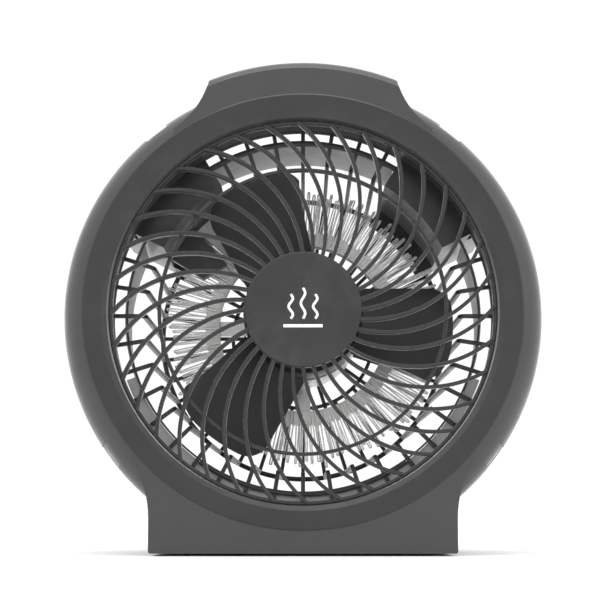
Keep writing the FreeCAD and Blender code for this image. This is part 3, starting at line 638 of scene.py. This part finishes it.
def make_cage():
    front, back = depths_of("rear_cage")
    end = back - CAGE_WALL / 2
    flange_back = front + FLANGE_DEPTH
    section = rounded_section(BAR_WIDTH, CAGE_WALL, 0.6, 2)
    bm = bmesh.new()
    for index in range(BAR_COUNT):
        angle = 360 // BAR_COUNT * index
        side = (*polar(1, angle + 90), 0)
        sweep(bm, bar_path(angle, end), side, section)
    for index in range(BAR_COUNT // 2):
        angle = 720 // BAR_COUNT * index
        path = [(*polar(distance, angle), end) for distance in (24, 38, 50)]
        side = (*polar(1, angle + 90), 0)
        sweep(bm, path, side, section)
    ring(bm, 48.7, 51.3, back - CAGE_WALL, back, 0.6)
    ring(bm, CAGE_RADIUS, CAGE_RADIUS + CAGE_WALL, back - CAGE_WALL, back, 0.9)
    ring(bm, 119.5, 127.5, front, flange_back, 0.5)
    ring(bm, 110.8, 114, front, flange_back, 0.5, 36, 58.2, 121.8)
    ring(bm, 110.8, 112, front, flange_back, 0.3, 100, 153.7, 386.3)
    ring(bm, 111.4, 114, front, flange_back, 0.5, 40, 235, 305)
    lathe(bm, [(0.01, back - CAGE_WALL), (25, back - CAGE_WALL), (26, back - CAGE_WALL + 1),
               (26, back - 1.2), (25.6, back - 0.4), (24.8, back), (18, back), (17, back - 0.8),
               (15, back - 0.8), (14, back), (0.01, back)])
    finish_mesh("rear_grille", bm, "cage_plastic", replaced=("rear_cage",))


# ------------------------------------------------------------------ heater

WIRE_COUNT = 60
WIRE_RADIUS = 0.55
MICA_INNER = 56.5
MICA_OUTER = 66.4


def hairpin(root, reach, spread, lift, depth):
    """A narrow loop of wire along +x, its legs closing towards the tip."""
    path = []
    for step in range(7):
        along = step / 7
        path.append((root + (reach - root) * along, -spread * (1 - 0.5 * along),
                     depth + lift * along))
    turn = spread * 0.5
    for step in range(7):
        x, y = polar(turn, -90 + 180 * step / 6)
        path.append((reach + x, y, depth + lift))
    for step in range(7):
        along = 1 - (step + 1) / 7
        path.append((root + (reach - root) * along, spread * (1 - 0.5 * along),
                     depth + lift * along))
    return path


def make_heating_wire():
    """Hairpins of bright wire that stand out from the mica rings like bristles."""
    spread = random.Random(7)
    front = depths_of("heater_ring_front")[0]
    bm = bmesh.new()
    layers = ((58.0, front - 0.8), (61.0, front + 2.4), (61.0, front + 5.8))
    for layer, (root, depth) in enumerate(layers):
        for index in range(WIRE_COUNT):
            angle = 360 / WIRE_COUNT * (index + layer / 3) + spread.uniform(-0.9, 0.9)
            path = hairpin(root, spread.uniform(86, 95), spread.uniform(0.9, 1.4),
                           spread.uniform(-0.6, 1.6), depth)
            sweep(bm, rotated(path, angle), (0, 0, 1), round_section(WIRE_RADIUS, 6))
    finish_mesh("heating_hairpins", bm, "resistance_wire", replaced=("heating_wire",), smooth=70)


def make_mica_ring(name, node):
    """A pressed mica annulus with a toothed rim, riveted in eight places."""
    front, back = depths_of(node)
    bm = bmesh.new()
    teeth = 120
    loops = []
    profile = ((0, 0.15), (0.15, 0), (0.85, 0), (1, 0.15), (1, 0.85), (0.85, 1), (0.15, 1),
               (0, 0.85))
    for step in range(4 * teeth):
        angle = 90 * step / teeth
        outer = MICA_OUTER if step % 4 < 2 else MICA_OUTER - 1.6
        loop = []
        for outward, deep in profile:
            x, up = polar(MICA_INNER + (outer - MICA_INNER) * outward, angle)
            loop.append((x, up, front + (back - front) * deep))
        loops.append(loop)
    skin(bm, loops, closed=True)
    for index in range(8):
        centre = polar(MICA_INNER + 1.6, 45 * index + 22.5)
        lathe(bm, [(0.01, front - 0.5), (0.9, front - 0.4), (1.1, front), (1.1, back),
                   (0.9, back + 0.4), (0.01, back + 0.5)], 16, centre=centre)
    finish_mesh(name, bm, "mica", replaced=(node,), smooth=30)


# ------------------------------------------------------------------ controls

FLUTES = 24


def centre_of(node):
    """Where a node's own axis crosses the drawing plane, in mm."""
    low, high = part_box(node)
    return (low.x + high.x) / 2 / MM, ((low.z + high.z) / 2 - AXIS) / MM


def fluted(bm, centre, profile):
    """A closed body of circles (radius, depth, flute depth) whose rim is waved."""
    loops = []
    for radius, depth, cut in profile:
        loop = []
        for step in range(FLUTES * 8):
            angle = 45 * step / FLUTES
            wave = cut * (0.5 - 0.5 * math.cos(math.radians(angle * FLUTES)))
            x, up = polar(radius - wave, angle)
            loop.append((centre[0] + x, centre[1] + up, depth))
        loops.append(loop)
    skin(bm, loops)


def make_knob(prefix):
    """A knob with a bevelled skirt, a fluted grip and a raised pointer."""
    node = f"{prefix}_knob"
    spindle = centre_of(f"{prefix}_spindle")
    front, back = depths_of(node)
    bm = bmesh.new()
    fluted(bm, spindle, [
        (14.2, front, 0), (14.9, front + 0.5, 0), (15, front + 1.2, 0), (14.9, front + 2.8, 0),
        (14.3, front + 3.6, 0), (12.8, front + 4, 0), (12, front + 4.6, 0.1),
        (11.9, front + 5.4, 0.7), (11.6, back - 3.2, 0.7), (11.3, back - 2.2, 0.4),
        (10.6, back - 1.5, 0), (9.2, back - 1.3, 0), (8.4, back - 1.8, 0)])
    rib = [(spindle[0], spindle[1] + along, back - 1.4) for along in (-10.6, -4, 4, 13.6)]
    sweep(bm, rib, (1, 0, 0), rounded_section(3.8, 2.8, 0.8))
    finish_mesh(f"{prefix}_fluted_knob", bm, "knob_plastic", prefix, replaced=(node,))
    bm = bmesh.new()
    line = [(spindle[0], spindle[1] + along, back - 0.04) for along in (3, 8, 13)]
    sweep(bm, line, (1, 0, 0), rounded_section(0.9, 0.08, 0.03, 1))
    finish_mesh(f"{prefix}_pointer_line", bm, "printed_ink", prefix)


def make_dial(prefix, marks):
    """Printed marks on the cover beside a knob; each is (direction in degrees, length)."""
    spindle = centre_of(f"{prefix}_spindle")
    outside = depths_of(f"{prefix}_cover")[1] - 0.02
    bm = bmesh.new()
    for angle, length in marks:
        path = []
        for along in (0, 0.5, 1):
            x, up = polar(17 + length * along, angle)
            path.append((spindle[0] + x, spindle[1] + up, outside))
        side = (*polar(1, angle + 90), 0)
        sweep(bm, path, side, rounded_section(1.1, 0.1, 0.04, 1))
    finish_mesh(f"{prefix}_dial_print", bm, "printed_ink")


# ------------------------------------------------------------------ screws

# Radius of each circle of screws, and the directions they stand in.
HOUSING_SCREWS = (141, (8, 172, 205, 335))
MOTOR_SCREWS = (30.6, (45, 135, 225, 315))


def cross_outline(angle, arm, half):
    """Distance from the centre to a cross's outline in one direction."""
    cos, sin = abs(math.cos(math.radians(angle))), abs(math.sin(math.radians(angle)))
    flat = min(arm / max(cos, 1e-6), half / max(sin, 1e-6))
    upright = min(arm / max(sin, 1e-6), half / max(cos, 1e-6))
    return max(flat, upright)


def screw(bm, centre, shank, head, start, seat, top):
    """A pan-head screw with a cross recess, its shank at "start" and its head's top at "top"."""
    def circle(radius, depth):
        return [(centre[0] + x, centre[1] + up, depth) for x, up in
                (polar(radius, 5 * step) for step in range(72))]

    def cross(scale, depth):
        return [(centre[0] + x, centre[1] + up, depth) for x, up in
                (polar(scale * cross_outline(5 * step, 0.5 * head, 0.13 * head), 5 * step)
                 for step in range(72))]

    height = top - seat
    skin(bm, [circle(shank * 0.6, start), circle(shank, start + 0.8), circle(shank, seat),
              circle(head, seat), circle(head, seat + height * 0.45),
              circle(head * 0.93, seat + height * 0.75), circle(head * 0.75, seat + height * 0.93),
              cross(1.0, top), cross(0.85, top - height * 0.5)])


def make_screws():
    front, back = depths_of("housing_screws")
    bm = bmesh.new()
    circle, angles = HOUSING_SCREWS
    for angle in angles:
        screw(bm, polar(circle, angle), 1.5, 3.4, front, back - 2.2, back)
    finish_mesh("cross_head_screws", bm, "screw_steel", replaced=("housing_screws",), smooth=30)
    front, back = depths_of("motor_screws")
    bm = bmesh.new()
    circle, angles = MOTOR_SCREWS
    for angle in angles:
        screw(bm, polar(circle, angle), 1.4, 2.6, front, front + 0.2, back)
    finish_mesh("motor_pan_screws", bm, "screw_steel", replaced=("motor_screws",), smooth=30)


# ------------------------------------------------------------------ motor

def make_stator():
    """A stack of laminations, each a shade proud of or behind its neighbour."""
    front, back = depths_of("motor_stator")
    radius = radius_of("motor_stator")
    bore = radius_of("motor_armature") + 0.6
    sheets = 24
    pitch = (back - front) / sheets
    rim = [(bore, front)]
    for index in range(sheets):
        start = front + pitch * index
        edge = radius - (0.0 if index % 2 else 0.18)
        rim += [(edge, start + 0.05 * pitch), (edge, start + 0.95 * pitch)]
    rim.append((bore, back))
    bm = bmesh.new()
    lathe(bm, rim, 96)
    finish_mesh("stator_laminations", bm, "motor_steel", replaced=("motor_stator",), smooth=20)


# ------------------------------------------------------------------ stage

def make_floor():
    bm = bmesh.new()
    bmesh.ops.create_grid(bm, x_segments=8, y_segments=8, size=4)
    mesh = bpy.data.meshes.new("floor")
    bm.to_mesh(mesh)
    bm.free()
    surface = Surface("floor", grey(0.94), 0.6, specular=0.2)
    surface.tint(surface.between(surface.noise(3, 4), 0.3, 0.7, 0, 0.5), grey(0.96))
    mesh.materials.append(surface.material)
    floor = bpy.data.objects.new("floor", mesh)
    floor.location.z = CAD_BOX[0].z
    bpy.context.scene.collection.objects.link(floor)


def make_world():
    world = bpy.data.worlds.new("studio")
    bpy.context.scene.world = world
    world.use_nodes = True
    background = world.node_tree.nodes["Background"]
    background.inputs["Color"].default_value = (1, 1, 1, 1)
    background.inputs["Strength"].default_value = 1.08
    bpy.context.scene.view_settings.view_transform = "Standard"


def make_light(name, where, size, energy, glossy=True):
    """A soft box that looks at the middle of the object, and is mirrored in it if glossy."""
    data = bpy.data.lights.new(name, "AREA")
    data.size = size
    data.energy = energy
    light = bpy.data.objects.new(name, data)
    light.location = where
    light.visible_glossy = glossy
    light.rotation_euler = (place(0, 0, 60) - light.location).to_track_quat("-Z", "Y").to_euler()
    bpy.context.scene.collection.objects.link(light)


CAMERA_DISTANCE = 0.732     # in front of the bezel, in metres
CAMERA_HEIGHT = 0.0249      # above the floor, in metres
CAMERA_TILT = 6.38


def make_camera():
    """Low in front of the object, turned slightly up, as for a packshot from table height."""
    data = bpy.data.cameras.new("camera")
    data.lens = 73.1
    data.sensor_width = 36
    data.shift_x = -0.005
    data.shift_y = 0.13
    camera = bpy.data.objects.new("camera", data)
    camera.location = (0, FRONT - CAMERA_DISTANCE, CAD_BOX[0].z + CAMERA_HEIGHT)
    camera.rotation_euler = (math.radians(90 + CAMERA_TILT), 0, 0)
    bpy.context.scene.collection.objects.link(camera)
    bpy.context.scene.camera = camera


dress_frame()
make_guard()
make_hub_mark()
make_rotor()
make_cage()
make_heating_wire()
make_mica_ring("mica_ring_front", "heater_ring_front")
make_mica_ring("mica_ring_rear", "heater_ring_rear")
make_knob("selector")
make_knob("thermostat")
make_dial("selector", ((112, 4), (155, 4), (-68, 4), (-25, 4)))
make_dial("thermostat", [(angle, 2.5 + 0.3 * step) for step, angle in
                         enumerate((-155, -140, -125, -110, 35, 50, 65, 80))])
make_screws()
make_stator()

make_floor()
make_world()
make_light("key_softbox", (-0.9, -1.1, 1.3), 1.2, 6)
make_light("fill_softbox", (1.2, -0.7, 0.8), 1.2, 3)
make_light("top_softbox", (0, -0.35, 1.5), 1.0, 7)
make_light("front_softbox", (0.25, -1.7, 0.3), 1.0, 7, glossy=False)
make_camera()
